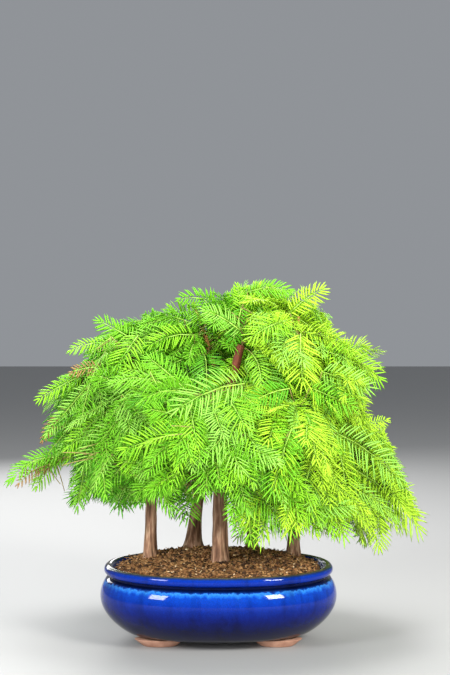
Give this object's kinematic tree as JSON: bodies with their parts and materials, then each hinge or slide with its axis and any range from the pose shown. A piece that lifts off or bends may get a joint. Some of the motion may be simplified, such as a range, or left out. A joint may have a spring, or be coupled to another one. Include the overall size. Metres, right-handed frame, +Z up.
{
  "type": "dawn redwood bonsai forest",
  "caption": "Forest planting of slender young dawn redwoods with feathery light green foliage, in an oval blue glazed pot on bare clay feet.",
  "frame": {"origin": "on the ground under the middle of the whole object's box, seen from above", "axes": "+Z up, +X to the right of the front view along the pot's length, +Y away from the front view"},
  "size_m": [0.4866, 0.3954, 0.4242],
  "materials": {
    "pot_glaze": "glossy cobalt blue glaze",
    "foot_clay": "bare fired clay, matte",
    "potting_mix": "loose brown bark and coir fibres, matte",
    "bark": "pinkish brown stringy bark, matte",
    "needles": "soft light green needles, satin"
  },
  "bodies": {
    "root": {"pot": "pot_glaze", "pot_foot_front_left": "foot_clay", "pot_foot_front_right": "foot_clay", "pot_foot_back_left": "foot_clay", "pot_foot_back_right": "foot_clay", "soil": "potting_mix", "trunk_left": "bark", "trunk_centre": "bark", "trunk_back_left": "bark", "trunk_back_right": "bark", "trunk_right": "bark", "bough_left_low": "bark", "bough_left_side": "bark", "bough_left_high": "bark", "bough_left_front": "bark", "bough_left_back": "bark", "bough_centre_skirt": "bark", "bough_centre_front": "bark", "bough_centre_apron": "bark", "bough_back_left_side": "bark", "bough_back_left_back": "bark", "bough_back_left_low": "bark", "bough_back_right_back": "bark", "bough_back_right_side": "bark", "bough_back_right_low": "bark", "bough_right_low": "bark", "bough_right_side": "bark", "bough_right_high": "bark", "bough_right_front": "bark", "bough_right_back": "bark", "foliage_left_low": "needles", "foliage_left_side": "needles", "foliage_left_high": "needles", "foliage_left_top": "needles", "foliage_left_front": "needles", "foliage_left_brow": "needles", "foliage_left_back": "needles", "foliage_centre_skirt": "needles", "foliage_centre_front": "needles", "foliage_centre_apron": "needles", "foliage_centre_brow": "needles", "foliage_centre_top": "needles", "foliage_back_left_high": "needles", "foliage_back_left_top": "needles", "foliage_back_left_crest": "needles", "foliage_back_left_side": "needles", "foliage_back_left_back": "needles", "foliage_back_left_low": "needles", "foliage_back_right_top": "needles", "foliage_back_right_brow": "needles", "foliage_back_right_back": "needles", "foliage_back_right_side": "needles", "foliage_back_right_low": "needles", "foliage_right_low": "needles", "foliage_right_side": "needles", "foliage_right_high": "needles", "foliage_right_front": "needles", "foliage_right_brow": "needles", "foliage_right_top": "needles", "foliage_right_back": "needles"}
  },
  "joints": []
}
